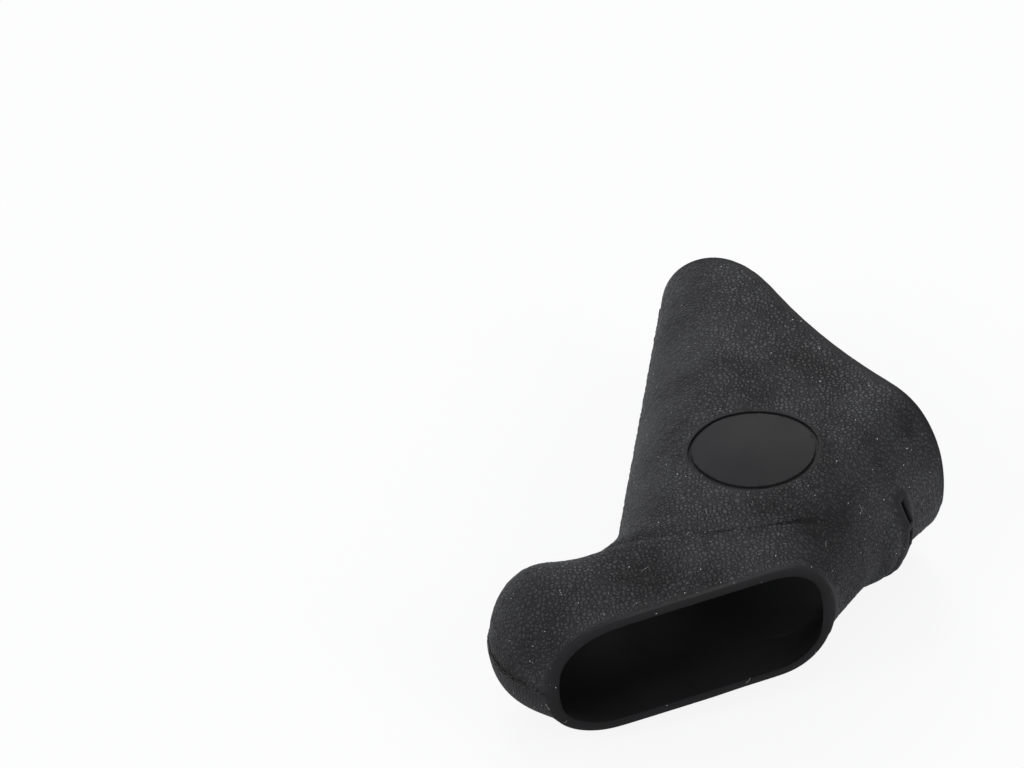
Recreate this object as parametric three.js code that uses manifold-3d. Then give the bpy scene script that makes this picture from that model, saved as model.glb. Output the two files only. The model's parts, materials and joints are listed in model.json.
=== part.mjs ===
// A moulded rubber brake lever hood for a drop-bar bicycle, lying on its side.
// +X runs forward along the palm rest, -Y runs up to the crown of the horn, and
// +Z is up, on the side that carries the plain oval field. All sizes are in millimetres.
//
// The hood is drawn on its middle plane first: x forward and h up from the palm rest.
// Four curves close that outline: the top line, the underside, the front mouth and the
// rear mouth. A grid of sections spans them, and each point of the grid gets its half width
// from the local width of the hood and from its distance to the outline.

import * as THREE from 'three';
import { mergeVertices } from 'three/addons/utils/BufferGeometryUtils.js';
import Module from 'manifold-3d';

// Palm rest and horn, on the middle plane
const PALM_LENGTH = 68;
const NECK_LENGTH = 10;
const WAIST_HEIGHT = 9.7;
const HORN_BACK = 11;
const HORN_HEIGHT = 20.7;
const HORN_FRONT = 15.2;
const HORN_FRONT_DROP = 13;
const BEAK_ANGLE = 66;

// Front mouth, for the lever
const MOUTH_LENGTH = 54;
const MOUTH_ANGLE = 65;
const MOUTH_HALF_WIDTH = 12.5;
const MOUTH_LEAN = 2.1;
const MOUTH_LIFT = 0.8;
const LEAN_REACH = 66;
const LEAN_POWER = 1.2;

// Underside and rear mouth, for the handlebar
const UNDERSIDE_LENGTH = 39;
const UNDERSIDE_ANGLE = 25;
const UNDERSIDE_SAG = 1.2;
const SAG_PLACE = 0.6;
const HEEL_DEPTH = 23;
const HEEL_INSET = 12.5;
const REAR_ARCH = 4;
const HEEL_REACH = 0.75;
const REAR_TOP_REACH = 0.45;

// Half widths behind the front mouth, and the radii that round the section off
const BODY_HALF_WIDTH = 17.4;
const BODY_SETBACK = 30;
const REAR_HALF_WIDTH = 17.5;
const REAR_SETBACK = 82;
const TOP_ROUND_FRONT = 13.5;
const TOP_ROUND_REAR = 22;
const UNDER_ROUND_FRONT = 10.5;
const UNDER_ROUND_REAR = 15;
const SECTION_POWER = 2.15;
const WIDENING_POWER = 1.5;

// Moulding
const WALL = 2.3;
const MOUTH_WALL = 1.4;
const MOUTH_WALL_REACH = 9;
const PARTING_STEP = 0.35;
const PARTING_STEP_REACH = 7;
const MOUTH_BEAD = 0.45;
const MOUTH_BEAD_WIDTH = 1.9;

// Transverse slot in the underside, with a raised pad in front of it
const SLOT_SETBACK = 26;
const SLOT_WIDTH = 1.4;
const SLOT_REACH = 11;
const SLOT_SIDE = -3.2;
const BRIDGE_WIDTH = 1.2;
const BRIDGE_PLACE = 5.4;
const PAD_LENGTH = 7;
const PAD_RAMP = 4.4;
const PAD_HALF_WIDTH = 11;
const PAD_HEIGHT = 1.6;

// Plain oval field on the upper side, bounded by a groove
const FIELD_FORWARD = 57.3;
const FIELD_DEPTH = 24.4;
const FIELD_LENGTH = 24;
const FIELD_WIDTH = 20.5;
const FIELD_TURN = 90;
const GROOVE_WIDTH = 0.65;
const GROOVE_DEPTH = 0.45;
const FIELD_STEPS = 20;

// Grid: sections from rear to front, and points round half a section
const OUTER_SECTIONS = 52;
const OUTER_HALF_POINTS = 26;
const INNER_SECTIONS = 30;
const INNER_HALF_POINTS = 17;
const CURVE_STEPS = 160;
const REAR_STEPS = 400;
const REAR_BEND_FADE = 4;
const SECTION_BOW = 6;

const wasm = await Module();
wasm.setup();

const radians = THREE.MathUtils.degToRad;
const at = (x, h) => new THREE.Vector2(x, h);
const along = (from, angle, length) => at(
  from.x + length * Math.cos(radians(angle)),
  from.y + length * Math.sin(radians(angle)),
);

// Handle length, as a share of the radius, that makes a Bezier curve a quarter circle
const QUARTER = 0.5523;

// Corners of the outline
const rearTop = at(0, 0);
const neck = at(PALM_LENGTH, 0);
const waist = at(PALM_LENGTH + NECK_LENGTH, WAIST_HEIGHT);
const crown = at(waist.x + HORN_BACK, HORN_HEIGHT);
const beak = at(crown.x + HORN_FRONT, HORN_HEIGHT - HORN_FRONT_DROP);
const chin = along(beak, 180 + MOUTH_ANGLE, MOUTH_LENGTH);
const tail = along(chin, 180 + UNDERSIDE_ANGLE, UNDERSIDE_LENGTH);
const heel = at(HEEL_INSET, -HEEL_DEPTH);

// The top line: a straight palm rest, a hollow neck and the horn
function topLine() {
  const path = new THREE.Path();
  path.moveTo(rearTop.x, rearTop.y);
  path.lineTo(neck.x, neck.y);
  path.bezierCurveTo(
    neck.x + QUARTER * NECK_LENGTH, 0,
    waist.x, WAIST_HEIGHT * (1 - QUARTER),
    waist.x, waist.y,
  );
  path.bezierCurveTo(
    waist.x, waist.y + QUARTER * (HORN_HEIGHT - WAIST_HEIGHT),
    crown.x - QUARTER * HORN_BACK, crown.y,
    crown.x, crown.y,
  );
  const handle = along(beak, 180 - BEAK_ANGLE, HORN_FRONT_DROP / 2);
  path.bezierCurveTo(
    crown.x + QUARTER * HORN_FRONT, crown.y,
    handle.x, handle.y,
    beak.x, beak.y,
  );
  return evenly(path);
}

function underLine() {
  const middle = tail.clone().lerp(chin, SAG_PLACE);
  const lifted = along(middle, UNDERSIDE_ANGLE + 90, 2 * UNDERSIDE_SAG);
  const path = new THREE.Path();
  path.moveTo(tail.x, tail.y);
  path.quadraticCurveTo(lifted.x, lifted.y, chin.x, chin.y);
  return evenly(path);
}

function frontLine() {
  const path = new THREE.Path();
  path.moveTo(chin.x, chin.y);
  path.lineTo(beak.x, beak.y);
  return evenly(path);
}

// The rear mouth: a shallow arch from the tail, then a round heel up to the palm rest
function rearLine() {
  const chord = heel.clone().sub(tail);
  const inward = at(chord.y, -chord.x).normalize();
  const middle = tail.clone().lerp(heel, 0.5).addScaledVector(inward, REAR_ARCH);
  const lean = heel.clone().sub(middle).normalize().multiplyScalar(HEEL_INSET * HEEL_REACH);
  const path = new THREE.Path();
  path.moveTo(tail.x, tail.y);
  path.quadraticCurveTo(middle.x, middle.y, heel.x, heel.y);
  path.bezierCurveTo(
    heel.x + lean.x, heel.y + lean.y,
    rearTop.x, rearTop.y - HEEL_DEPTH * REAR_TOP_REACH,
    rearTop.x, rearTop.y,
  );
  return evenly(path);
}

function evenly(path) {
  return path.getSpacedPoints(CURVE_STEPS);
}

// Lines as rows of points: how long, where, which way
function lengths(line) {
  const sums = [0];
  for (let i = 1; i < line.length; i += 1) {
    sums.push(sums[i - 1] + line[i].distanceTo(line[i - 1]));
  }
  return sums;
}

function resampled(line, count) {
  const sums = lengths(line);
  const total = sums[sums.length - 1];
  const points = [];
  let k = 0;
  for (let i = 0; i <= count; i += 1) {
    const want = total * i / count;
    while (k < line.length - 2 && sums[k + 1] < want) {
      k += 1;
    }
    const t = (want - sums[k]) / (sums[k + 1] - sums[k]);
    points.push(line[k].clone().lerp(line[k + 1], t));
  }
  return points;
}

function extended(line, length) {
  const last = line.length - 1;
  const start = line[0].clone().sub(line[1]).setLength(length).add(line[0]);
  const end = line[last].clone().sub(line[last - 1]).setLength(length).add(line[last]);
  return [start, ...line, end];
}

// A line moved sideways by one wall, to its left or, with a side of -1, to its right
function beside(line, side) {
  return line.map((point, i) => {
    const before = line[Math.max(i - 1, 0)];
    const after = line[Math.min(i + 1, line.length - 1)];
    const way = after.clone().sub(before).normalize();
    const distance = side * wallAt(point);
    return at(point.x - way.y * distance, point.y + way.x * distance);
  });
}

// Where two lines cross, as a place on each: index plus share of the step
function crossing(first, second) {
  for (let i = 0; i < first.length - 1; i += 1) {
    for (let j = 0; j < second.length - 1; j += 1) {
      const a = first[i + 1].clone().sub(first[i]);
      const b = second[j + 1].clone().sub(second[j]);
      const gap = second[j].clone().sub(first[i]);
      const det = a.x * b.y - a.y * b.x;
      const s = (gap.x * b.y - gap.y * b.x) / det;
      const t = (gap.x * a.y - gap.y * a.x) / det;
      if (s >= 0 && s <= 1 && t >= 0 && t <= 1) {
        return [i + s, j + t];
      }
    }
  }
  throw new Error('Two lines of the outline do not cross');
}

function cut(line, from, to) {
  const pick = (place) => {
    const i = Math.min(Math.floor(place), line.length - 2);
    return line[i].clone().lerp(line[i + 1], place - i);
  };
  const inside = line.filter((point, i) => i > from + 1e-6 && i < to - 1e-6);
  return [pick(from), ...inside, pick(to)];
}

function distanceTo(line, point) {
  let best = Infinity;
  for (let i = 0; i < line.length - 1; i += 1) {
    const step = line[i + 1].clone().sub(line[i]);
    const from = point.clone().sub(line[i]);
    const t = THREE.MathUtils.clamp(from.dot(step) / step.lengthSq(), 0, 1);
    best = Math.min(best, from.addScaledVector(step, -t).length());
  }
  return best;
}

const outline = {
  top: topLine(),
  under: underLine(),
  front: frontLine(),
  rear: rearLine(),
};

// The same four lines one wall further in, trimmed where they meet
function insideOutline() {
  const reach = 4 * WALL;
  const top = beside(extended(outline.top, reach), -1);
  const under = beside(extended(outline.under, reach), 1);
  const [topRear, rearTopEnd] = crossing(top, outline.rear);
  const [topFront, frontTopEnd] = crossing(top, outline.front);
  const [underRear, rearUnderEnd] = crossing(under, outline.rear);
  const [underFront, frontUnderEnd] = crossing(under, outline.front);
  return {
    top: cut(top, topRear, topFront),
    under: cut(under, underRear, underFront),
    front: cut(outline.front, frontUnderEnd, frontTopEnd),
    rear: cut(outline.rear, rearUnderEnd, rearTopEnd),
  };
}

const smooth = (value) => THREE.MathUtils.smoothstep(value, 0, 1);
const blend = (from, to, share) => from + (to - from) * THREE.MathUtils.clamp(share, 0, 1);

const mouthNormal = at(Math.sin(radians(MOUTH_ANGLE)), -Math.cos(radians(MOUTH_ANGLE)));
const setback = (point) => Math.max(0, -point.clone().sub(chin).dot(mouthNormal));

// The wall thins out towards the front mouth
function wallAt(point) {
  return blend(MOUTH_WALL, WALL, smooth(setback(point) / MOUTH_WALL_REACH));
}

const mouthWay = at(Math.cos(radians(MOUTH_ANGLE)), Math.sin(radians(MOUTH_ANGLE)));

// How far the middle of a section lies above the middle plane: the front of the hood is lifted,
// and turned so that the beak's end of the mouth lies lower than the chin's
function middleHeight(point) {
  const half = MOUTH_LENGTH / 2;
  const up = point.clone().sub(chin).dot(mouthWay) - half;
  const share = THREE.MathUtils.clamp(1 - setback(point) / LEAN_REACH, 0, 1) ** LEAN_POWER;
  return (MOUTH_LIFT - MOUTH_LEAN * up / half) * share;
}

function halfWidth(point) {
  const back = setback(point);
  if (back < BODY_SETBACK) {
    return blend(MOUTH_HALF_WIDTH, BODY_HALF_WIDTH, easeOut(back / BODY_SETBACK));
  }
  const share = (back - BODY_SETBACK) / (REAR_SETBACK - BODY_SETBACK);
  return blend(BODY_HALF_WIDTH, REAR_HALF_WIDTH, smooth(share));
}

function easeOut(share) {
  const left = 1 - THREE.MathUtils.clamp(share, 0, 1);
  return 1 - left ** WIDENING_POWER;
}

// How far the section has risen at a distance from its edge, from 0 to 1
function rise(distance, radius) {
  const share = THREE.MathUtils.clamp(distance / radius, 0, 1);
  return (1 - (1 - share) ** SECTION_POWER) ** (1 / SECTION_POWER);
}

// Half the thickness of the hood over a point of the middle plane, of its outside or its inside
function halfThickness(point, inside) {
  const wall = inside ? wallAt(point) : 0;
  const share = setback(point) / REAR_SETBACK;
  const topRound = blend(TOP_ROUND_FRONT, TOP_ROUND_REAR, easeOut(share));
  const underRound = blend(UNDER_ROUND_FRONT, UNDER_ROUND_REAR, share);
  const fromTop = distanceTo(outline.top, point) - wall;
  const fromUnder = distanceTo(outline.under, point) - wall;
  return (halfWidth(point) - wall)
    * rise(fromTop, topRound - wall)
    * rise(fromUnder, underRound - wall);
}

// A patch of sections from rear to front, each a row of places from the top line down. Those
// near the rear mouth follow its bend, and those at the neck bow forward, to leave the back
// of the horn at a clear angle.
function patch(lines, sections, halfPoints) {
  const top = resampled(lines.top, sections);
  const under = resampled(lines.under, sections);
  const rear = resampled(lines.rear, REAR_STEPS);
  const onRear = (share) => {
    const place = share * REAR_STEPS;
    const i = Math.min(Math.floor(place), REAR_STEPS - 1);
    return rear[i].clone().lerp(rear[i + 1], place - i);
  };
  const shares = Array.from({ length: halfPoints + 1 }, (_, j) => (
    (1 + Math.cos(Math.PI * j / halfPoints)) / 2
  ));
  const bends = shares.map((share) => onRear(share).sub(under[0].clone().lerp(top[0], share)));
  return top.map((upper, i) => {
    const fade = (1 - i / sections) ** REAR_BEND_FADE;
    const bow = 4 * SECTION_BOW * Math.sin(Math.PI * i / sections) ** 2;
    return shares.map((share, j) => (
      under[i].clone().lerp(upper, share)
        .addScaledVector(bends[j], fade)
        .add(at(bow * share * (1 - share), 0))
    ));
  });
}

// One ring of points per section: down the upper side and back up the lower side
function rings(lines, sections, halfPoints, inside) {
  return patch(lines, sections, halfPoints).map((row) => {
    const half = row.map((p, j) => (j === 0 || j === halfPoints ? 0 : halfThickness(p, inside)));
    const side = (way) => row.map((p, j) => (
      new THREE.Vector3(p.x, -p.y, middleHeight(p) + way * half[j])
    ));
    return [...side(1), ...side(-1).slice(1, halfPoints).reverse()];
  });
}

// Outward direction at each point of a grid of rings
function outward(grid) {
  const count = grid[0].length;
  return grid.map((ring, i) => ring.map((point, j) => {
    const ahead = grid[Math.min(i + 1, grid.length - 1)][j];
    const behind = grid[Math.max(i - 1, 0)][j];
    const next = ring[(j + 1) % count];
    const last = ring[(j + count - 1) % count];
    const way = ahead.clone().sub(behind);
    return way.cross(next.clone().sub(last)).normalize();
  }));
}

// Height of the raised pad: full at the slot, and easing out in front of it, behind it and aside
function padHeight(point) {
  const flat = at(point.x, -point.y);
  const back = chin.clone().sub(flat).dot(along(at(0, 0), UNDERSIDE_ANGLE, 1));
  const padFront = SLOT_SETBACK - SLOT_WIDTH / 2 - PAD_LENGTH;
  const forward = smooth((back - padFront) / PAD_RAMP);
  const behind = smooth((SLOT_SETBACK + PAD_LENGTH / 2 - back) / (PAD_LENGTH / 2));
  const across = smooth((PAD_HALF_WIDTH - Math.abs(point.z - SLOT_SIDE)) / (PAD_HALF_WIDTH / 2));
  const low = smooth((2 * PAD_HALF_WIDTH - distanceTo(outline.under, flat)) / PAD_HALF_WIDTH);
  return PAD_HEIGHT * forward * behind * across * low;
}

// The outer skin: sections, pad and the half that stands proud along the top
function outerRings() {
  const grid = rings(outline, OUTER_SECTIONS, OUTER_HALF_POINTS, false);
  const ways = outward(grid);
  const half = OUTER_HALF_POINTS;
  return grid.map((ring, i) => {
    const moved = ring.map((point, j) => point.clone().addScaledVector(ways[i][j], padHeight(point)));
    const proud = moved.map((point, j) => {
      if (j <= half) {
        return point;
      }
      const flat = at(point.x, -point.y);
      const fade = 1 - smooth(distanceTo(outline.top, flat) / PARTING_STEP_REACH);
      return point.addScaledVector(ways[i][j], PARTING_STEP * fade);
    });
    const ridge = ring[0].clone().addScaledVector(ways[i][0].clone().setZ(0).normalize(), PARTING_STEP);
    return [...proud, ridge];
  });
}

// Adds the triangles of the band between each ring and the next
function bandFaces(grid, start, faces) {
  const count = grid[0].length;
  for (let i = 0; i < grid.length - 1; i += 1) {
    for (let j = 0; j < count; j += 1) {
      const a = start + i * count + j;
      const b = start + i * count + (j + 1) % count;
      faces.push(a, a + count, b, b, a + count, b + count);
    }
  }
}

// Joins two rings that have different numbers of points, walking by height round the ring
function rimFaces(outerRing, outerStart, innerRing, innerStart, faces, flip) {
  const places = (ring) => {
    const sums = [0];
    for (let j = 1; j <= ring.length; j += 1) {
      sums.push(sums[j - 1] + ring[j % ring.length].distanceTo(ring[j - 1]));
    }
    return sums.map((sum) => sum / sums[ring.length]);
  };
  const outer = places(outerRing);
  const inner = places(innerRing);
  let i = 0;
  let j = 0;
  while (i < outerRing.length || j < innerRing.length) {
    const a = outerStart + i % outerRing.length;
    const b = innerStart + j % innerRing.length;
    const moveOuter = j === innerRing.length || (i < outerRing.length && outer[i + 1] <= inner[j + 1]);
    const next = moveOuter
      ? outerStart + (i + 1) % outerRing.length
      : innerStart + (j + 1) % innerRing.length;
    faces.push(...(flip ? [a, b, next] : [b, a, next]));
    if (moveOuter) {
      i += 1;
    } else {
      j += 1;
    }
  }
}

function shell(outerGrid, innerGrid) {
  const points = [...outerGrid.flat(), ...innerGrid.flat()];
  const innerStart = outerGrid.flat().length;
  const faces = [];
  bandFaces(outerGrid, 0, faces);
  const inside = [];
  bandFaces(innerGrid, innerStart, inside);
  for (let k = 0; k < inside.length; k += 3) {
    faces.push(inside[k], inside[k + 2], inside[k + 1]);
  }
  const lastOuter = outerGrid.length - 1;
  const lastInner = innerGrid.length - 1;
  rimFaces(outerGrid[0], 0, innerGrid[0], innerStart, faces, false);
  rimFaces(
    outerGrid[lastOuter], lastOuter * outerGrid[0].length,
    innerGrid[lastInner], innerStart + lastInner * innerGrid[0].length,
    faces, true,
  );
  return solidOf(points, faces);
}

function solidOf(points, faces) {
  const mesh = new wasm.Mesh({
    numProp: 3,
    vertProperties: new Float32Array(points.flatMap((p) => [p.x, p.y, p.z])),
    triVerts: new Uint32Array(faces),
  });
  return new wasm.Manifold(mesh);
}

function solidFromGeometry(geometry) {
  geometry.deleteAttribute('normal');
  geometry.deleteAttribute('uv');
  const merged = mergeVertices(geometry, 1e-4);
  return new wasm.Manifold(new wasm.Mesh({
    numProp: 3,
    vertProperties: new Float32Array(merged.attributes.position.array),
    triVerts: new Uint32Array(merged.index.array),
  }));
}

// The transverse slot, cut square to the underside, in stretches between two bridges
function slotCutters() {
  const depth = 3 * WALL + PAD_HEIGHT + SLOT_REACH;
  const stretches = [
    [-BRIDGE_PLACE + BRIDGE_WIDTH / 2, BRIDGE_PLACE - BRIDGE_WIDTH / 2],
    [BRIDGE_PLACE + BRIDGE_WIDTH / 2, SLOT_REACH],
    [-SLOT_REACH, -BRIDGE_PLACE - BRIDGE_WIDTH / 2],
  ];
  const middle = along(chin, 180 + UNDERSIDE_ANGLE, SLOT_SETBACK);
  return stretches.map(([from, to]) => {
    const box = new THREE.BoxGeometry(SLOT_WIDTH, depth, to - from);
    box.rotateZ(-radians(UNDERSIDE_ANGLE));
    box.translate(middle.x, -middle.y, SLOT_SIDE + (from + to) / 2);
    return solidFromGeometry(box);
  });
}

// The groove round the oval field: an oval ring, kept to its depth below the skin
function grooveCutter(floor) {
  const top = 2 * REAR_HALF_WIDTH;
  const shape = new THREE.Shape();
  shape.absellipse(0, 0, FIELD_LENGTH / 2, FIELD_WIDTH / 2, 0, 2 * Math.PI, false);
  const island = new THREE.Path();
  const inner = [FIELD_LENGTH / 2 - GROOVE_WIDTH, FIELD_WIDTH / 2 - GROOVE_WIDTH];
  island.absellipse(0, 0, inner[0], inner[1], 0, 2 * Math.PI, true);
  shape.holes.push(island);
  const ring = new THREE.ExtrudeGeometry(
    shape,
    { depth: top, bevelEnabled: false, curveSegments: FIELD_STEPS },
  );
  ring.rotateZ(radians(FIELD_TURN));
  ring.translate(FIELD_FORWARD, FIELD_DEPTH, 0);
  return solidFromGeometry(ring).subtract(floor);
}

// The solid that the groove's floor lies on: the skin, sunk by the groove's depth
function sunkenSkin(grid) {
  const ways = outward(grid);
  const sunk = grid.map((ring, i) => ring.map((point, j) => (
    point.clone().addScaledVector(ways[i][j], -GROOVE_DEPTH)
  )));
  const points = sunk.flat();
  const faces = [];
  bandFaces(sunk, 0, faces);
  const count = sunk[0].length;
  const last = (sunk.length - 1) * count;
  const rearMiddle = points.push(centre(sunk[0])) - 1;
  const frontMiddle = points.push(centre(sunk[sunk.length - 1])) - 1;
  for (let j = 0; j < count; j += 1) {
    const next = (j + 1) % count;
    faces.push(rearMiddle, j, next);
    faces.push(frontMiddle, last + next, last + j);
  }
  return solidOf(points, faces);
}

function centre(ring) {
  const sum = new THREE.Vector3();
  ring.forEach((point) => sum.add(point));
  return sum.divideScalar(ring.length);
}

// A low bead round the front mouth, in the last stretch of the skin, with the mouth's face flat
function withBead(grid) {
  const ways = outward(grid);
  const last = grid.length - 1;
  return grid.map((ring, i) => ring.map((point, j) => {
    const back = setback(at(point.x, -point.y));
    const height = MOUTH_BEAD * smooth(1 - back / MOUTH_BEAD_WIDTH);
    const raised = point.clone().addScaledVector(ways[i][j], height);
    return i === last ? onMouthPlane(raised) : raised;
  }));
}

function onMouthPlane(point) {
  const past = at(point.x, -point.y).sub(chin).dot(mouthNormal);
  return point.sub(new THREE.Vector3(mouthNormal.x, -mouthNormal.y, 0).multiplyScalar(past));
}

function leverHood() {
  const outerGrid = outerRings();
  const innerGrid = rings(insideOutline(), INNER_SECTIONS, INNER_HALF_POINTS, true);
  let hood = shell(withBead(outerGrid), innerGrid);
  slotCutters().forEach((cutter) => {
    hood = hood.subtract(cutter);
  });
  return hood.subtract(grooveCutter(sunkenSkin(outerGrid)));
}

function geometryOf(solid) {
  const { vertProperties, triVerts } = solid.getMesh();
  const geometry = new THREE.BufferGeometry();
  geometry.setAttribute('position', new THREE.BufferAttribute(vertProperties, 3));
  geometry.setIndex(new THREE.BufferAttribute(triVerts, 1));
  geometry.computeVertexNormals();
  return geometry;
}

const rubber = new THREE.MeshStandardMaterial({ color: 0x232223, roughness: 0.62, metalness: 0 });
const hoodMesh = new THREE.Mesh(geometryOf(leverHood()), rubber);
hoodMesh.name = 'lever_hood';

// The hood lies on its lower side, with the middle of its box over the origin
hoodMesh.geometry.computeBoundingBox();
const box = hoodMesh.geometry.boundingBox;
const middle = box.getCenter(new THREE.Vector3());
hoodMesh.position.set(-middle.x, -middle.y, -box.min.z);

const brakeLeverHood = new THREE.Group();
brakeLeverHood.add(hoodMesh);

export default brakeLeverHood;
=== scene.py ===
"""The finish of a moulded rubber brake lever hood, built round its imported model.

The hood is one moulding, so its skin is one piece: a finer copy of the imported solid, with the
leather grain, the knurled half and the smooth oval field raised in its mesh. Flash along the
mould line, dust and lint lie on it as pieces of their own. Lengths are in millimetres in the
settings and in metres in the scene.
"""

import json
import math
import random

import bmesh
import bpy
import numpy as np
from mathutils import Matrix, Vector, noise
from mathutils.geometry import interpolate_bezier

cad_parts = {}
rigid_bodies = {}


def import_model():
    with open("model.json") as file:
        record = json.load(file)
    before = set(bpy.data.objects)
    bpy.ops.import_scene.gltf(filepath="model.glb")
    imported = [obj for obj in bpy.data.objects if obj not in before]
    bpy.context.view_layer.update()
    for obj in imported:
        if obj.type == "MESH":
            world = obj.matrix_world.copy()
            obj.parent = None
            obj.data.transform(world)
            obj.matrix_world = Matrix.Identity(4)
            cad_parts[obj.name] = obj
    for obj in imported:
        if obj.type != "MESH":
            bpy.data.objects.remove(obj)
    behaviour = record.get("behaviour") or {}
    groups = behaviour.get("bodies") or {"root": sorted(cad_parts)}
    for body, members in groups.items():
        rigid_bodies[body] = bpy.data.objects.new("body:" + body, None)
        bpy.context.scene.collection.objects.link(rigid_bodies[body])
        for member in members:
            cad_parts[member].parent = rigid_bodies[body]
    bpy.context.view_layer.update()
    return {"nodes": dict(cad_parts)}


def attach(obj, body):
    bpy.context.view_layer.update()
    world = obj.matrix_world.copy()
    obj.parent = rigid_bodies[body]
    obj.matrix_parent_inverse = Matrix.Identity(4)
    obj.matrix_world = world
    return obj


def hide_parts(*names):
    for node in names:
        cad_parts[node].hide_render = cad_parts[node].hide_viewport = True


bl_info = {
    "name": "Brake lever hood finish",
    "version": (1, 0, 0),
    "blender": (4, 5, 0),
    "location": "3D View > Sidebar > Lever hood",
    "description": "Grain, rubber and stage for a moulded brake lever hood",
    "category": "Object",
}

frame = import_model()
NODE = "lever_hood"
SKIN = "moulded_hood"
BODY = "root"

MM = 0.001

# Where the drawing of the hood lies in the frame: rear end of the palm rest, and middle plane
ORIGIN = (-52.2298, -18.339, 17.49)

# The middle plane's corners, x forward and h up from the palm rest
NECK = (68.0, 0.0)
WAIST = (78.0, 9.7)
CROWN = (89.0, 20.7)
BEAK = (104.2, 7.7)
CHIN = (81.4, -41.2)
TAIL = (46.1, -57.7)
HEEL = (12.5, -23.0)
BEAK_ANGLE = 66.0
MOUTH_ANGLE = 65.0
QUARTER = 0.5523

MOUTH_LENGTH = 54.0
MOUTH_LEAN = 2.1
MOUTH_LIFT = 0.8
LEAN_REACH = 66.0
LEAN_POWER = 1.2
UNDERSIDE_ANGLE = 25.0
REAR_ARCH = 4.0
HEEL_REACH = 0.75
REAR_TOP_REACH = 0.45

SLOT_SETBACK = 26.0
SLOT_REACH = 11.0
SLOT_SIDE = -3.2
SLOT_LIP_WIDTH = 2.3

# The mould line on the underside runs this far below the middle plane
SEAM_SIDE = -3.2

FIELD_CENTRE = (57.3, 24.4)
FIELD_LENGTH = 24.0
FIELD_WIDTH = 20.5
FIELD_TURN = 90.0

# Steps along each part of the lines that the drawing's curves are cut into
STRAIGHT_STEPS = 80
CURVE_STEPS = 24
BEAK_STEPS = 30
REAR_STEPS = 40

# Edges that count as sharp, in degrees
REGION_ANGLE = 50
CREASE_ANGLE = 38
CREASE_HOLD = 0.85

# Widths over which the grain fades out
RIM_BAND = 1.1
OPEN_BAND = 3.0
OPEN_FADE = 2.0
FIELD_EDGE = 1.07
FIELD_FADE = 0.05
LIP_FADE = 0.7
LIP_DEPTH = 20
LIP_DEPTH_FADE = 4
KNURL_REACH = 15
KNURL_FADE = 5
COARSE_REACH = 30
COARSE_FADE = 16
SEAM_FADE = 0.35
SEAM_DEPTH = 16
SEAM_DEPTH_FADE = 6

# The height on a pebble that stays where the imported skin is
PEBBLE_LEVEL = 0.75

# The rag of rubber along the mould line: height over it, and how often it swells or breaks
FLASH_RAISE = 0.03
FLASH_SWAY = 0.05
NIB_CHANCE = 0.03
BREAK_CHANCE = 0.12
FIBRE_LIFT = 0.08
FIBRE_POINTS = 7

# How far apart in the noise the three parts of an offset are read
SWAY_SHIFTS = (9.3, 21.7, 34.1)

# Seeds of the random draws
FLASH_SEED = 11
SPECK_SEED = 7

# The camera: its right and up, pixels per millimetre, and the pixel of the frame's origin
CAMERA_RIGHT = (-0.12831, 0.99068, -0.04572)
CAMERA_UP = (-0.66688, -0.05206, 0.74335)
PHOTO_SCALE = 5.4559
PHOTO_ORIGIN = (729.98, 573.56)
PHOTO_SIZE = (1024, 768)
SENSOR_WIDTH = 36

# Soft boxes: place in metres, side in metres and power in watts
LAMPS = (
    ("back_box", (-0.9, -0.25, 0.8), 0.6, 4.5),
    ("right_box", (0.55, 0.9, 0.75), 0.5, 3.0),
    ("front_box", (0.7, -0.7, 0.9), 0.5, 3.0),
)
SKY_STRENGTH = 0.55
PAPER_GLOW = 0.88
FLOOR_SIZE = 6


def on_frame(x, h, z):
    """A place on the drawing as a point of the frame, in metres."""
    return Vector((x + ORIGIN[0], -h + ORIGIN[1], z + ORIGIN[2])) * MM


def linear(code):
    """An sRGB hex code as linear colour with alpha."""
    parts = [int(code[i:i + 2], 16) / 255 for i in (1, 3, 5)]
    return [p / 12.92 if p <= 0.04045 else ((p + 0.055) / 1.055) ** 2.4 for p in parts] + [1.0]


def srgb_property(name, code, description):
    return bpy.props.FloatVectorProperty(
        name=name, description=description, subtype="COLOR", size=3, min=0, max=1,
        default=linear(code)[:3],
    )


def length_property(name, value, description):
    return bpy.props.FloatProperty(
        name=name, description=description, default=value * MM, min=0, unit="LENGTH",
        precision=5,
    )


class LeverHoodSkinSettings(bpy.types.PropertyGroup):
    coarse_size: length_property("Coarse pebble", 1.9, "Width of a pebble near the field")
    coarse_height: length_property("Coarse height", 0.24, "Depth round a coarse pebble")
    fine_size: length_property("Fine pebble", 1.15, "Width of a pebble of the grain elsewhere")
    fine_height: length_property("Fine height", 0.16, "Depth round a fine pebble")
    knurl_size: length_property("Knurl", 0.75, "Width of one diamond of the knurled half")
    lip_height: length_property("Slot lip", 0.4, "Height of the lips beside the slot")
    seam_step: length_property("Seam step", 0.15, "Step between the mould halves on the underside")
    crease_size: length_property("Crease", 0.8, "Width of the fine cells between the creases")
    crease_depth: length_property("Crease depth", 0.2, "Depth of the fine creases")
    rubber: srgb_property("Rubber", "#1b1918", "Colour of the moulded rubber")
    # The second colour is painted sheen: a lighter, bluish tint laid over the rubber in random
    # cloud patches.
    painted_sheen: srgb_property("Painted_sheen", "#252527", "Colour where the rubber has a dry bloom")


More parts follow.
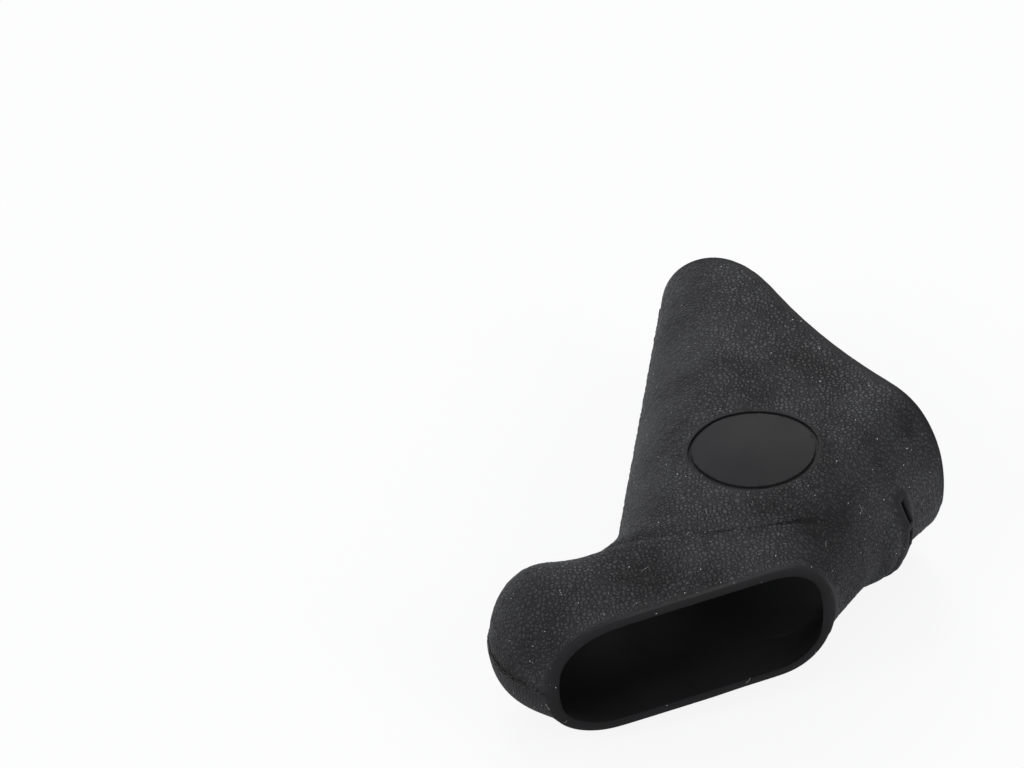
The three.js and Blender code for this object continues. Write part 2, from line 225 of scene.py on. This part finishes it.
class LeverHoodSpeckSettings(bpy.types.PropertyGroup):
    count: bpy.props.IntProperty(
        name="Specks", description="How many specks of dust lie on the grain", default=700, min=0,
    )
    size: length_property("Speck", 0.13, "Width of a speck of dust")
    fibres: bpy.props.IntProperty(
        name="Fibres", description="How many short fibres of lint lie on the grain", default=34,
        min=0,
    )
    fibre_width: length_property("Fibre", 0.035, "Width of a fibre of lint")
    flash_width: length_property("Flash", 0.16, "Width of the rag of rubber on the mould line")
    # The flash colour is a painted highlight: paler than the rubber the flash is made of, it stands
    # in for light caught along the mould line.
    flash: srgb_property("Flash", "#4a4745", "Colour of the thin rag of rubber")
    dust: srgb_property("Dust", "#d9d6cf", "Colour of dust and lint")


class LeverHoodStageSettings(bpy.types.PropertyGroup):
    floor: srgb_property("Floor", "#f4f4f4", "Colour of the paper floor")
    distance: bpy.props.FloatProperty(
        name="Camera distance", description="From the camera to the middle of the frame",
        default=2.4, min=0.1, unit="LENGTH",
    )


def add_node(tree, kind, values=None, **attributes):
    """A node of that kind, with its own attributes set and its sockets set or linked."""
    node = tree.nodes.new(kind)
    for name, value in attributes.items():
        setattr(node, name, value)
    for key, value in (values or {}).items():
        if isinstance(value, bpy.types.NodeSocket):
            tree.links.new(value, node.inputs[key])
        else:
            node.inputs[key].default_value = value
    return node


def deselect_all():
    for item in bpy.context.view_layer.objects:
        item.select_set(False)


def make_active(item):
    deselect_all()
    item.select_set(True)
    bpy.context.view_layer.objects.active = item


def to_drawing(places):
    """Places in the frame, in metres, as x forward, h up and z across on the drawing."""
    drawn = places / MM - np.array(ORIGIN)
    return drawn * np.array([1, -1, 1])


def read_points(mesh, name):
    values = np.empty(len(mesh.vertices) * 3)
    mesh.vertices.foreach_get(name, values)
    return values.reshape(-1, 3)


def read_layer(mesh, name):
    values = np.empty(len(mesh.vertices))
    mesh.attributes[name].data.foreach_get("value", values)
    return values


def direction(angle):
    return np.array([math.cos(math.radians(angle)), math.sin(math.radians(angle))])


def setback(flat):
    """How far behind the plane of the front mouth the flat points lie."""
    return -(flat - np.array(CHIN)) @ direction(MOUTH_ANGLE - 90)


def middle_height(flat):
    """The height of the section's middle above the middle plane, as the mouth leans."""
    half = MOUTH_LENGTH / 2
    up = (flat - np.array(CHIN)) @ direction(MOUTH_ANGLE) - half
    share = np.clip(1 - np.maximum(setback(flat), 0) / LEAN_REACH, 0, 1) ** LEAN_POWER
    return (MOUTH_LIFT - MOUTH_LEAN * up / half) * share


def field_distance(flat):
    """Distance from the middle of the oval field, as a share of its outline's."""
    away = flat - np.array([FIELD_CENTRE[0], -FIELD_CENTRE[1]])
    turn = direction(-FIELD_TURN)
    wide = away @ np.array([-turn[1], turn[0]])
    return np.hypot(away @ turn / (FIELD_LENGTH / 2), wide / (FIELD_WIDTH / 2))


def field_share(flat, above):
    """1 on the oval field and 0 off it, and the distance from the field's middle in mm."""
    away = np.linalg.norm(flat - np.array([FIELD_CENTRE[0], -FIELD_CENTRE[1]]), axis=1)
    return smooth((FIELD_EDGE - field_distance(flat)) / FIELD_FADE) * (above > 0), away


def distance_under(flat):
    """Distance from the straight line between chin and tail."""
    way = direction(UNDERSIDE_ANGLE)
    return np.abs((flat - np.array(CHIN)) @ np.array([-way[1], way[0]]))


def slot_lip(flat, side):
    """1 on the smooth lips beside the slot in the underside, 0 elsewhere."""
    from_slot = (np.array(CHIN) - flat) @ direction(UNDERSIDE_ANGLE) - SLOT_SETBACK
    past_end = np.maximum(np.abs(side - SLOT_SIDE) - SLOT_REACH, 0)
    gap = np.hypot(from_slot, past_end)
    low = smooth((LIP_DEPTH - distance_under(flat)) / LIP_DEPTH_FADE)
    return smooth((SLOT_LIP_WIDTH - gap) / LIP_FADE) * low


def plain_share(drawn):
    """1 on the open skin of the hood, fading to 0 at the rims, slot, field and mould line."""
    flat, side = drawn[:, :2], drawn[:, 2]
    above = side - middle_height(flat)
    field, _ = field_share(flat, above)
    from_rear, _ = place_on_line(rear_line(), flat)
    front = smooth((setback(flat) - OPEN_BAND) / OPEN_FADE)
    rims = front * smooth((from_rear - OPEN_BAND) / OPEN_FADE)
    oval = smooth((field_distance(flat) - 1.2) / 0.1) + (above < 0)
    slot = 1 - slot_lip(flat, side)
    return rims * np.minimum(oval, 1) * slot * (1 - field) * smooth((np.abs(above) - 1) / 1.5)


def curve_points(corners, steps):
    """A Bezier curve through four flat corners, as flat points."""
    return [(p.x, p.y) for p in interpolate_bezier(*(Vector((*c, 0)) for c in corners), steps)]


def top_line():
    """The top line of the middle plane as flat points, from the rear end to the beak."""
    handle = np.array(BEAK) + direction(180 - BEAK_ANGLE) * (CROWN[1] - BEAK[1]) / 2
    straight = [(NECK[0] * i / STRAIGHT_STEPS, 0.0) for i in range(STRAIGHT_STEPS)]
    hollow = curve_points((
        NECK, (NECK[0] + QUARTER * (WAIST[0] - NECK[0]), 0),
        (WAIST[0], WAIST[1] * (1 - QUARTER)), WAIST,
    ), CURVE_STEPS)
    back = curve_points((
        WAIST, (WAIST[0], WAIST[1] + QUARTER * (CROWN[1] - WAIST[1])),
        (CROWN[0] - QUARTER * (CROWN[0] - WAIST[0]), CROWN[1]), CROWN,
    ), CURVE_STEPS)
    front = curve_points((
        CROWN, (CROWN[0] + QUARTER * (BEAK[0] - CROWN[0]), CROWN[1]), tuple(handle), BEAK,
    ), BEAK_STEPS)
    return np.array(straight + hollow[:-1] + back[:-1] + front)


def rear_line():
    """The rear mouth's line on the middle plane as flat points, from the tail to the palm rest."""
    tail, heel = np.array(TAIL), np.array(HEEL)
    chord = heel - tail
    inward = np.array([chord[1], -chord[0]]) / np.linalg.norm(chord)
    middle = (tail + heel) / 2 + inward * REAR_ARCH
    arch = [
        (1 - t) ** 2 * tail + 2 * t * (1 - t) * middle + t * t * heel
        for t in np.linspace(0, 1, REAR_STEPS)
    ]
    lean = (heel - middle) / np.linalg.norm(heel - middle) * HEEL[0] * HEEL_REACH
    round_heel = curve_points((
        HEEL, tuple(heel + lean), (0.0, HEEL[1] * REAR_TOP_REACH), (0.0, 0.0),
    ), REAR_STEPS)
    return np.array([tuple(p) for p in arch[:-1]] + round_heel)


def place_on_line(line, flat):
    """For each flat point, its distance to the line and how far along the line that is."""
    steps = np.diff(line, axis=0)
    size = np.linalg.norm(steps, axis=1)
    sums = np.concatenate([[0], np.cumsum(size)])
    best = np.full(len(flat), np.inf)
    along = np.zeros(len(flat))
    for k in range(len(steps)):
        away = flat - line[k]
        share = np.clip((away @ steps[k]) / size[k] ** 2, 0, 1)
        gap = np.linalg.norm(away - share[:, None] * steps[k], axis=1)
        closer = gap < best
        best[closer] = gap[closer]
        along[closer] = (sums[k] + share * size[k])[closer]
    return best, along


def smooth(value):
    """The value from 0 to 1 with an even start and end."""
    value = np.clip(value, 0, 1)
    return value * value * (3 - 2 * value)


def regions_by_edge(mesh, angle):
    """The connected regions of a mesh between its sharp edges, largest first, as face lists."""
    work = bmesh.new()
    work.from_mesh(mesh)
    work.faces.ensure_lookup_table()
    seen = np.zeros(len(work.faces), bool)
    found = []
    for start in work.faces:
        if seen[start.index]:
            continue
        seen[start.index] = True
        stack, region = [start], []
        while stack:
            face = stack.pop()
            region.append(face.index)
            for edge in face.edges:
                if len(edge.link_faces) != 2 or edge.calc_face_angle(0) > angle:
                    continue
                for other in edge.link_faces:
                    if not seen[other.index]:
                        seen[other.index] = True
                        stack.append(other)
        area = sum(work.faces[i].calc_area() for i in region)
        found.append((area, region))
    work.free()
    return [region for area, region in sorted(found, key=lambda pair: -pair[0])]


def sway(point):
    """A smooth offset that is the same in each run, unlike that of noise.noise_vector."""
    return Vector([noise.noise(point + Vector((shift, 0, 0))) for shift in SWAY_SHIFTS])


def pebble(point, size, seed):
    """Height of the grain from 0 in a crease to 1 on a pebble."""
    bent = point / size + sway(point / (size * 2.3)) * 0.35 + Vector((seed, 0, 0))
    gaps, cells = noise.voronoi(bent)
    crease = min(1.0, (gaps[1] - gaps[0]) / 0.42)
    swell = noise.noise(cells[0] * 7.3)
    return crease * (2 - crease) * (0.82 + 0.3 * swell)


class LEVER_HOOD_OT_skin(bpy.types.Operator):
    """Make the moulded skin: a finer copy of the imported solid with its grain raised"""

    bl_idname = "lever_hood.skin"
    bl_label = "Moulded skin"

    def execute(self, context):
        settings = context.scene.lever_hood_skin
        source = frame["nodes"][NODE]
        skin = bpy.data.objects.new(SKIN, source.data.copy())
        context.scene.collection.objects.link(skin)
        skin.data.transform(source.matrix_world)
        skin.data.materials.clear()
        make_active(skin)
        bpy.ops.object.mode_set(mode="EDIT")
        bpy.ops.mesh.select_all(action="SELECT")
        bpy.ops.mesh.remove_doubles(threshold=0.00001)
        bpy.ops.object.mode_set(mode="OBJECT")
        self.unfold_rows(skin)
        bpy.ops.object.mode_set(mode="EDIT")
        bpy.ops.mesh.select_all(action="SELECT")
        bpy.ops.mesh.tris_convert_to_quads(
            face_threshold=math.radians(35), shape_threshold=math.radians(75),
        )
        bpy.ops.object.mode_set(mode="OBJECT")
        self.mark_regions(skin.data)
        self.crease_edges(skin.data)
        finer = skin.modifiers.new("Finer", "SUBSURF")
        finer.levels = 2
        finer.render_levels = 2
        bpy.ops.object.modifier_apply(modifier=finer.name)
        self.even_out(skin)
        self.raise_grain(skin.data, settings)
        bpy.ops.object.shade_smooth_by_angle(angle=math.radians(40))
        skin.data.materials.append(moulded_rubber(settings))
        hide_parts(NODE)
        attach(skin, BODY)
        return {"FINISHED"}

    def unfold_rows(self, skin):
        """Evens out the few section rows that cross each other on the open skin."""
        work = bmesh.new()
        work.from_mesh(skin.data)
        open_skin = plain_share(to_drawing(read_points(skin.data, "co"))) > 0.3
        crossed = {
            vert for edge in work.edges
            if len(edge.link_faces) == 2 and edge.calc_face_angle(0) > math.radians(REGION_ANGLE)
            for vert in edge.verts if open_skin[vert.index]
        }
        near = crossed | {
            edge.other_vert(vert) for vert in crossed for edge in vert.link_edges
            if open_skin[edge.other_vert(vert).index]
        }
        places = [vert.index for vert in near]
        work.free()
        self.smooth_group(skin, places, [1.0] * len(places), 8)

    def smooth_group(self, skin, places, shares, rounds):
        """Smooths those points, each by its share, that many times."""
        group = skin.vertex_groups.new(name="smoothed")
        for place, share in zip(places, shares):
            group.add([int(place)], float(share), "REPLACE")
        evened = skin.modifiers.new("Evened", "SMOOTH")
        evened.factor = 0.5
        evened.iterations = rounds
        evened.vertex_group = group.name
        bpy.ops.object.modifier_apply(modifier=evened.name)
        skin.vertex_groups.clear()

    def mark_regions(self, mesh):
        """Writes 1 on the points of the outer skin, and on those of the inside, and 0 elsewhere."""
        regions = [
            {v for i in region for v in mesh.polygons[i].vertices}
            for region in regions_by_edge(mesh, math.radians(REGION_ANGLE))
        ]
        outside, inside = regions[:2]
        open_skin = plain_share(to_drawing(read_points(mesh, "co"))) > 0.2
        for scrap in regions[2:]:
            if scrap & outside and not scrap & inside and all(open_skin[v] for v in scrap):
                outside |= scrap
        for name, region in (("outside", outside), ("inside", inside)):
            layer = mesh.attributes.new(name, "FLOAT", "POINT")
            for v in region:
                layer.data[v].value = 1.0

    def crease_edges(self, mesh):
        """Keeps the rims, the slot and the groove crisp under the Subdivision Surface."""
        work = bmesh.new()
        work.from_mesh(mesh)
        layers = work.edges.layers.float
        crease = layers.get("crease_edge") or layers.new("crease_edge")
        outside = work.verts.layers.float["outside"]
        middles = np.array([(edge.verts[0].co + edge.verts[1].co) / 2 for edge in work.edges])
        open_skin = plain_share(to_drawing(middles)) > 0.5
        for edge, is_open in zip(work.edges, open_skin):
            if is_open and edge.verts[0][outside] > 0.5:
                continue
            if len(edge.link_faces) == 2 and edge.calc_face_angle(0) > math.radians(CREASE_ANGLE):
                edge[crease] = CREASE_HOLD
        work.to_mesh(mesh)
        work.free()

    def even_out(self, skin):
        """Smooths the open skin, away from the rims, the slot, the field and the mould line."""
        drawn = to_drawing(read_points(skin.data, "co"))
        shares = plain_share(drawn) * read_layer(skin.data, "outside")
        places = np.nonzero(shares > 0.05)[0]
        self.smooth_group(skin, places, shares[places], 12)

    def raise_grain(self, mesh, settings):
        """Raises the pebbles, lips and seam, and leaves the shares that the material reads."""
        places = read_points(mesh, "co")
        normals = read_points(mesh, "normal")
        drawn = to_drawing(places)
        flat = drawn[:, :2]
        side = drawn[:, 2]
        outside = read_layer(mesh, "outside") * (1 - read_layer(mesh, "inside"))

        from_top, along_top = place_on_line(top_line(), flat)
        from_rear, _ = place_on_line(rear_line(), flat)
        above = side - middle_height(flat)
        field, near_field = field_share(flat, above)
        rim = smooth(setback(flat) / RIM_BAND - 0.5) * smooth(from_rear / RIM_BAND - 0.5)
        lip = slot_lip(flat, side)
        knurled = smooth(-above / 0.5) * smooth((KNURL_REACH - from_top) / KNURL_FADE)
        coarse = smooth((COARSE_REACH - near_field) / COARSE_FADE) * (above > 0)
        plain = outside * rim * (1 - field) * (1 - lip)
        grained = plain * (1 - knurled)

        lift = np.zeros(len(places))
        for k in np.nonzero(grained > 0.01)[0]:
            point = Vector(places[k]) / MM
            share = coarse[k]
            rough = pebble(point, settings.coarse_size / MM, 0) if share > 0.01 else 0
            close = pebble(point, settings.fine_size / MM, 40) if share < 0.99 else 0
            lift[k] = (
                share * settings.coarse_height * (rough - PEBBLE_LEVEL)
                + (1 - share) * settings.fine_height * (close - PEBBLE_LEVEL)
            )
        low = smooth((SEAM_DEPTH - distance_under(flat)) / SEAM_DEPTH_FADE)
        seam = smooth((SEAM_SIDE - side) / SEAM_FADE) * low
        lift = lift * grained + outside * (settings.lip_height * lip - settings.seam_step * seam)
        moved = places + normals * lift[:, None]
        mesh.vertices.foreach_set("co", moved.ravel())
        for name, values in (("grained", grained), ("knurled", knurled * plain)):
            layer = mesh.attributes.new(name, "FLOAT", "POINT")
            layer.data.foreach_set("value", values)
        sheet = mesh.uv_layers.new(name="along_top")
        corners = np.empty(len(mesh.loops), int)
        mesh.loops.foreach_get("vertex_index", corners)
        sheet.data.foreach_set("uv", (np.stack([along_top, from_top], 1) * MM)[corners].ravel())
        mesh.update()


def new_material(name):
    """An empty node material and its tree."""
    material = bpy.data.materials.new(name)
    material.use_nodes = True
    material.node_tree.nodes.clear()
    return material, material.node_tree


def moulded_rubber(settings):
    """Moulded EPDM rubber: near black with a soft grey sheen from its gloss, and painted sheen: a
    lighter bluish tint in random cloud patches, where the gloss is also higher. Over the pebbles in
    the mesh lie the finer creases and pitting of the mould, which break the sheen up; the bottoms
    of the creases stay dull and dark."""
    material, tree = new_material("moulded_epdm_rubber")
    place = add_node(tree, "ShaderNodeTexCoord").outputs["Object"]
    grained, knurled, inner = (
        add_node(tree, "ShaderNodeAttribute", attribute_name=name).outputs["Fac"]
        for name in ("grained", "knurled", "inside")
    )
    bend = add_node(tree, "ShaderNodeTexNoise", {"Vector": place, "Scale": 420, "Detail": 1})
    offset = add_node(tree, "ShaderNodeVectorMath", {0: bend.outputs["Color"], "Scale": 0.0006},
                      operation="SCALE").outputs[0]
    bent = add_node(tree, "ShaderNodeVectorMath", {0: place, 1: offset},
                    operation="ADD").outputs[0]
    cells = add_node(tree, "ShaderNodeTexVoronoi",
                     {"Vector": bent, "Scale": 1 / settings.crease_size},
                     feature="DISTANCE_TO_EDGE").outputs["Distance"]
    pebbles = add_node(tree, "ShaderNodeMapRange",
                       {"Value": cells, "From Min": 0, "From Max": 0.26},
                       interpolation_type="SMOOTHSTEP").outputs[0]
    pits = add_node(tree, "ShaderNodeTexNoise", {"Vector": place, "Scale": 3200, "Detail": 2})
    grain = add_node(tree, "ShaderNodeMath", {0: pits.outputs["Fac"], 1: 0.4, 2: pebbles},
                     operation="MULTIPLY_ADD").outputs[0]
    grain = add_node(tree, "ShaderNodeMath", {0: grain, 1: grained},
                     operation="MULTIPLY").outputs[0]

    sheet = add_node(tree, "ShaderNodeUVMap", uv_map="along_top").outputs["UV"]
    split = add_node(tree, "ShaderNodeSeparateXYZ", {0: sheet})
    ribs = []
    for way in (1, -1):
        run = add_node(tree, "ShaderNodeMath",
                       {0: split.outputs["Y"], 1: way, 2: split.outputs["X"]},
                       operation="MULTIPLY_ADD").outputs[0]
        turn = add_node(tree, "ShaderNodeMath", {0: run, 1: math.pi / settings.knurl_size},
                        operation="MULTIPLY").outputs[0]
        wave = add_node(tree, "ShaderNodeMath", {0: turn}, operation="SINE").outputs[0]
        ribs.append(add_node(tree, "ShaderNodeMath", {0: wave}, operation="ABSOLUTE").outputs[0])
    diamonds = add_node(tree, "ShaderNodeMath", {0: ribs[0], 1: ribs[1]},
                        operation="MINIMUM").outputs[0]
    relief = add_node(tree, "ShaderNodeMath", {0: diamonds, 1: knurled, 2: grain},
                      operation="MULTIPLY_ADD").outputs[0]
    bump = add_node(tree, "ShaderNodeBump",
                    {"Height": relief, "Strength": 1.0, "Distance": settings.crease_depth})

    # Painted sheen: the cloud mixes a lighter bluish tint into the rubber's colour in random
    # patches, and raises the gloss in the same patches.
    cloud = add_node(tree, "ShaderNodeTexNoise", {"Vector": place, "Scale": 70, "Detail": 4})
    tint = add_node(tree, "ShaderNodeMix",
                    {0: cloud.outputs["Fac"], 6: (*settings.rubber, 1), 7: (*settings.painted_sheen, 1)},
                    data_type="RGBA").outputs[2]
    patch_gloss_share = add_node(tree, "ShaderNodeMapRange",
                           {"Value": cloud.outputs["Fac"], "From Min": 0.35, "From Max": 0.65,
                            "To Min": 0.55, "To Max": 1.4}).outputs[0]
    pebble_gloss = add_node(tree, "ShaderNodeMapRange",
                            {"Value": pebbles, "To Min": 0.26, "To Max": 0.6}).outputs[0]
    patch_pebble_gloss = add_node(tree, "ShaderNodeMath", {0: pebble_gloss, 1: patch_gloss_share},
                          operation="MULTIPLY").outputs[0]
    outer_gloss = add_node(tree, "ShaderNodeMix",
                           {0: grained, 2: 0.17, 3: patch_pebble_gloss}).outputs[0]
    gloss = add_node(tree, "ShaderNodeMix", {0: inner, 2: outer_gloss, 3: 0.07}).outputs[0]
    patchy = add_node(tree, "ShaderNodeMapRange",
                      {"Value": cloud.outputs["Fac"], "From Min": 0.3, "From Max": 0.7,
                       "To Min": 0.5, "To Max": 0.62}).outputs[0]
    surface = add_node(tree, "ShaderNodeBsdfPrincipled",
                       {"Base Color": tint, "Normal": bump.outputs["Normal"], "IOR": 1.5,
                        "Roughness": patchy, "Specular IOR Level": gloss})
    add_node(tree, "ShaderNodeOutputMaterial", {"Surface": surface.outputs["BSDF"]})
    return material


def plain_skin(name, tint, roughness):
    """Small matt pieces with a little variation from place to place: a thin rag of rubber whose
    paler grey is a painted highlight, house dust and cotton lint, none of which shines."""
    material, tree = new_material(name)
    place = add_node(tree, "ShaderNodeTexCoord").outputs["Object"]
    mottle = add_node(tree, "ShaderNodeTexNoise", {"Vector": place, "Scale": 900, "Detail": 2})
    value = add_node(tree, "ShaderNodeMapRange",
                     {"Value": mottle.outputs["Fac"], "To Min": 0.5, "To Max": 1.3}).outputs[0]
    shade = add_node(tree, "ShaderNodeHueSaturation", {"Color": (*tint, 1), "Value": value})
    surface = add_node(tree, "ShaderNodeBsdfPrincipled",
                       {"Base Color": shade.outputs[0], "Roughness": roughness, "IOR": 1.5})
    add_node(tree, "ShaderNodeOutputMaterial", {"Surface": surface.outputs["BSDF"]})
    return material


def curve_piece(name, runs, width):
    """A piece of round strands through the runs of (place, share of the width), as a mesh."""
    deselect_all()
    bpy.ops.curve.primitive_bezier_curve_add(location=(0, 0, 0))
    item = bpy.context.active_object
    item.name = name
    curve = item.data
    curve.splines.clear()
    for run in runs:
        spline = curve.splines.new("POLY")
        spline.points.add(len(run) - 1)
        for point, (place, share) in zip(spline.points, run):
            point.co = (*place, 1)
            point.radius = share
    curve.bevel_depth = width / 2
    curve.bevel_resolution = 1
    curve.use_fill_caps = True
    make_active(item)
    bpy.ops.object.convert(target="MESH")
    return bpy.context.active_object


class LEVER_HOOD_OT_flash(bpy.types.Operator):
    """Make the ragged rubber flash and nibs left where the mould halves met"""

    bl_idname = "lever_hood.flash"
    bl_label = "Mould flash"

    def execute(self, context):
        settings = context.scene.lever_hood_specks
        draw = random.Random(FLASH_SEED)
        line = top_line()
        heights = middle_height(line)
        runs, run = [], []
        for k in range(4, len(line) - 1):
            way = line[k + 1] - line[k - 1]
            out = np.array([-way[1], way[0]]) / np.linalg.norm(way)
            place = line[k] + out * FLASH_RAISE
            share = draw.uniform(0.6, 1.4)
            if draw.random() < NIB_CHANCE:
                share = draw.uniform(2.5, 4.0)
            across = heights[k] + draw.uniform(-FLASH_SWAY, FLASH_SWAY)
            run.append((on_frame(place[0], place[1], across), share))
            if draw.random() < BREAK_CHANCE:
                runs.append(run)
                run = []
        runs.append(run)
        flash = curve_piece("mould_flash", [r for r in runs if len(r) > 1], settings.flash_width)
        # The flash's paler grey is a painted highlight along the mould line.
        flash.data.materials.append(plain_skin("flash_painted_highlight", settings.flash, 0.5))
        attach(flash, BODY)
        return {"FINISHED"}


class LEVER_HOOD_OT_specks(bpy.types.Operator):
    """Scatter the dust and lint that cling to the grain"""

    bl_idname = "lever_hood.specks"
    bl_label = "Dust and lint"

    def execute(self, context):
        settings = context.scene.lever_hood_specks
        skin = bpy.data.objects[SKIN].data
        draw = random.Random(SPECK_SEED)
        outside = read_layer(skin, "outside")
        faces = [f for f in skin.polygons if min(outside[v] for v in f.vertices) > 0.9]
        areas = [f.area for f in faces]

        deselect_all()
        bpy.ops.mesh.primitive_ico_sphere_add(subdivisions=1, radius=0.5, location=(0, 0, 0))
        dust = context.active_object
        dust.name = "house_dust"
        bpy.ops.object.mode_set(mode="EDIT")
        bpy.ops.transform.vertex_random(offset=0.16, seed=3)
        bpy.ops.object.mode_set(mode="OBJECT")
        work = bmesh.new()
        for face in draw.choices(faces, areas, k=settings.count):
            size = settings.size * draw.uniform(0.5, 1.3) ** 2
            turned = face.normal.to_track_quat("Z", "Y").to_matrix().to_4x4()
            turned = turned @ Matrix.Rotation(draw.uniform(0, math.tau), 4, "Z")
            grown = Matrix.Diagonal((size * draw.uniform(0.7, 1.8), size, size * 0.6, 1))
            speck = dust.data.copy()
            speck.transform(Matrix.Translation(face.center) @ turned @ grown)
            work.from_mesh(speck)
            bpy.data.meshes.remove(speck)
        work.to_mesh(dust.data)
        work.free()
        dust.data.materials.append(plain_skin("house_dust", settings.dust, 0.9))
        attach(dust, BODY)

        runs = []
        for face in draw.choices(faces, areas, k=settings.fibres):
            way = face.normal.orthogonal().normalized()
            way.rotate(Matrix.Rotation(draw.uniform(0, math.tau), 3, face.normal))
            aside = face.normal.cross(way)
            length, bow = draw.uniform(0.5, 1.6) * MM, draw.uniform(-0.2, 0.2) * MM
            runs.append([
                (face.center + face.normal * FIBRE_LIFT * MM + way * length * (t - 0.5)
                 + aside * bow * 4 * t * (1 - t), 1.0)
                for t in np.linspace(0, 1, FIBRE_POINTS)
            ])
        lint = curve_piece("cotton_lint", runs, settings.fibre_width)
        lint.data.materials.append(plain_skin("cotton_lint", settings.dust, 0.8))
        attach(lint, BODY)
        return {"FINISHED"}


class LEVER_HOOD_OT_stage(bpy.types.Operator):
    """Make the paper floor, the studio lights and the camera"""

    bl_idname = "lever_hood.stage"
    bl_label = "Stage"

    def execute(self, context):
        settings = context.scene.lever_hood_stage
        deselect_all()
        bpy.ops.mesh.primitive_grid_add(
            x_subdivisions=4, y_subdivisions=4, size=FLOOR_SIZE, location=(0, 0, 0),
        )
        floor = context.active_object
        floor.name = "paper_floor"
        floor.data.materials.append(paper(settings))
        self.lights(context)
        self.camera(context, settings)
        context.scene.view_settings.view_transform = "Standard"
        return {"FINISHED"}

    def lights(self, context):
        for name, place, size, power in LAMPS:
            deselect_all()
            bpy.ops.object.light_add(type="AREA", location=place)
            lamp = context.active_object
            lamp.name = name
            lamp.data.shape = "SQUARE"
            lamp.data.size = size
            lamp.data.energy = power
            lamp.rotation_euler = (-Vector(place)).to_track_quat("-Z", "Y").to_euler()
        world = context.scene.world or bpy.data.worlds.new("World")
        context.scene.world = world
        world.use_nodes = True
        tree = world.node_tree
        tree.nodes.clear()
        rays = add_node(tree, "ShaderNodeLightPath")
        light = add_node(tree, "ShaderNodeBackground",
                         {"Color": linear("#f4f7ff"), "Strength": SKY_STRENGTH})
        shown = add_node(tree, "ShaderNodeBackground",
                         {"Color": linear("#ffffff"), "Strength": 1.0})
        mix = add_node(tree, "ShaderNodeMixShader",
                       {0: rays.outputs["Is Camera Ray"], 1: light.outputs[0],
                        2: shown.outputs[0]})
        add_node(tree, "ShaderNodeOutputWorld", {"Surface": mix.outputs[0]})

    def camera(self, context, settings):
        right = Vector(CAMERA_RIGHT).normalized()
        up = Vector(CAMERA_UP)
        up = (up - up.dot(right) * right).normalized()
        eye = right.cross(up)
        scale = PHOTO_SCALE / MM
        shift_right = (PHOTO_SIZE[0] / 2 - PHOTO_ORIGIN[0]) / scale
        shift_up = -(PHOTO_SIZE[1] / 2 - PHOTO_ORIGIN[1]) / scale
        place = eye * settings.distance + right * shift_right + up * shift_up
        deselect_all()
        bpy.ops.object.camera_add(location=place)
        camera = context.active_object
        camera.name = "photo_camera"
        turned = Matrix((right, up, eye)).transposed().to_4x4()
        camera.matrix_world = Matrix.Translation(place) @ turned
        camera.data.sensor_width = SENSOR_WIDTH
        camera.data.lens = settings.distance * scale / PHOTO_SIZE[0] * SENSOR_WIDTH
        camera.data.clip_end = 20
        context.scene.camera = camera


def paper(settings):
    """Matt seamless paper, lit through from below as on a light table: the camera sees it near
    white, with the soft shadow kept."""
    material, tree = new_material("seamless_paper")
    matt = add_node(tree, "ShaderNodeBsdfPrincipled",
                    {"Base Color": (*settings.floor, 1), "Roughness": 0.9})
    glow = add_node(tree, "ShaderNodeEmission", {"Color": linear("#ffffff"), "Strength": 1.0})
    rays = add_node(tree, "ShaderNodeLightPath").outputs["Is Camera Ray"]
    seen = add_node(tree, "ShaderNodeMath", {0: rays, 1: PAPER_GLOW}, operation="MULTIPLY")
    mix = add_node(tree, "ShaderNodeMixShader",
                   {0: seen.outputs[0], 1: matt.outputs["BSDF"], 2: glow.outputs[0]})
    add_node(tree, "ShaderNodeOutputMaterial", {"Surface": mix.outputs[0]})
    return material


class LEVER_HOOD_PT_panel(bpy.types.Panel):
    """Sizes, colours and the steps that make the hood's finish"""

    bl_idname = "LEVER_HOOD_PT_panel"
    bl_label = "Lever hood"
    bl_space_type = "VIEW_3D"
    bl_region_type = "UI"
    bl_category = "Lever hood"

    def draw(self, context):
        for name, kind in PROPERTIES.items():
            group = getattr(context.scene, name)
            column = self.layout.box().column()
            for key in kind.__annotations__:
                column.prop(group, key)
        for operator in STEPS:
            self.layout.operator(operator.bl_idname)


PROPERTIES = {
    "lever_hood_skin": LeverHoodSkinSettings,
    "lever_hood_specks": LeverHoodSpeckSettings,
    "lever_hood_stage": LeverHoodStageSettings,
}
STEPS = (LEVER_HOOD_OT_skin, LEVER_HOOD_OT_flash, LEVER_HOOD_OT_specks, LEVER_HOOD_OT_stage)
CLASSES = (*PROPERTIES.values(), *STEPS, LEVER_HOOD_PT_panel)


def register():
    for item in CLASSES:
        bpy.utils.register_class(item)
    for name, kind in PROPERTIES.items():
        setattr(bpy.types.Scene, name, bpy.props.PointerProperty(type=kind))


def unregister():
    for name in PROPERTIES:
        delattr(bpy.types.Scene, name)
    for item in reversed(CLASSES):
        bpy.utils.unregister_class(item)


def main():
    register()
    bpy.ops.lever_hood.skin()
    bpy.ops.lever_hood.flash()
    bpy.ops.lever_hood.specks()
    bpy.ops.lever_hood.stage()


if __name__ == "__main__":
    main()
